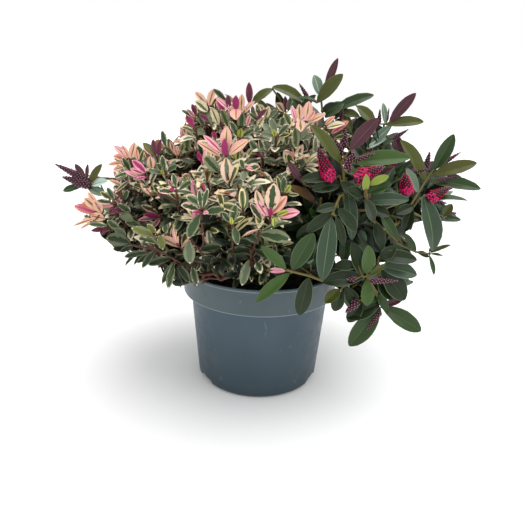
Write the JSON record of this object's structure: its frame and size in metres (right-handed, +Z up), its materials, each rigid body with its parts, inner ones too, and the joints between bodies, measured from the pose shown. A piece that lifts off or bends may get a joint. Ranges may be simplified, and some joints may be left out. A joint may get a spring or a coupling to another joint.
{
  "type": "potted hebe shrub",
  "caption": "Potted flowering hebe: a broad low crown of small cream-edged and large plain green leaves, pink young tips and magenta flower spikes, in a round nursery pot.",
  "frame": {"origin": "centre of the pot's flat underside", "axes": "+Z up, -Y to the front, +X to the right, the side of the large green leaves"},
  "size_m": [0.464, 0.3203, 0.343],
  "materials": {
    "pot_plastic": "satin grey-green moulded plastic",
    "compost": "dark damp crumbly compost",
    "bark_variegated": "brown bark, maroon on the young stems",
    "bark_green": "brown bark, olive yellow on the young stems",
    "leaves_variegated": "small waxy leaves, green with a cream edge, pink and salmon at the tips",
    "leaves_green": "large waxy leaves, dark green, maroon when young"
  },
  "bodies": {
    "root": {"pot": "pot_plastic", "compost": "compost", "stem_green_back": "bark_green", "stem_green_front": "bark_green", "stem_green_main": "bark_green", "stem_variegated_back": "bark_variegated", "stem_variegated_front": "bark_variegated", "stem_variegated_main": "bark_variegated", "bough_green_back_low": "bark_green", "bough_green_back_right": "bark_green", "bough_green_far_left_sprig": "bark_green", "bough_green_front_low": "bark_green", "bough_green_front_right": "bark_green", "bough_green_right": "bark_green", "bough_green_right_back_low": "bark_green", "bough_green_right_low": "bark_green", "bough_green_upper_right": "bark_green", "bough_variegated_back_left": "bark_variegated", "bough_variegated_back_low": "bark_variegated", "bough_variegated_far_left": "bark_variegated", "bough_variegated_front_left_low": "bark_variegated", "bough_variegated_front_low": "bark_variegated", "bough_variegated_left_low": "bark_variegated", "bough_variegated_left_shoulder": "bark_variegated", "bough_variegated_upper_front": "bark_variegated", "foliage_green_back": "leaves_green", "foliage_green_back_low": "leaves_green", "foliage_green_back_right": "leaves_green", "foliage_green_crown_top": "leaves_green", "foliage_green_far_left_sprig": "leaves_green", "foliage_green_front": "leaves_green", "foliage_green_front_low": "leaves_green", "foliage_green_front_right": "leaves_green", "foliage_green_right": "leaves_green", "foliage_green_right_back_low": "leaves_green", "foliage_green_right_low": "leaves_green", "foliage_green_upper_right": "leaves_green", "foliage_variegated_back": "leaves_variegated", "foliage_variegated_back_left": "leaves_variegated", "foliage_variegated_back_low": "leaves_variegated", "foliage_variegated_crown_top": "leaves_variegated", "foliage_variegated_far_left": "leaves_variegated", "foliage_variegated_front": "leaves_variegated", "foliage_variegated_front_left_low": "leaves_variegated", "foliage_variegated_front_low": "leaves_variegated", "foliage_variegated_left_low": "leaves_variegated", "foliage_variegated_left_shoulder": "leaves_variegated", "foliage_variegated_upper_front": "leaves_variegated"}
  },
  "joints": []
}
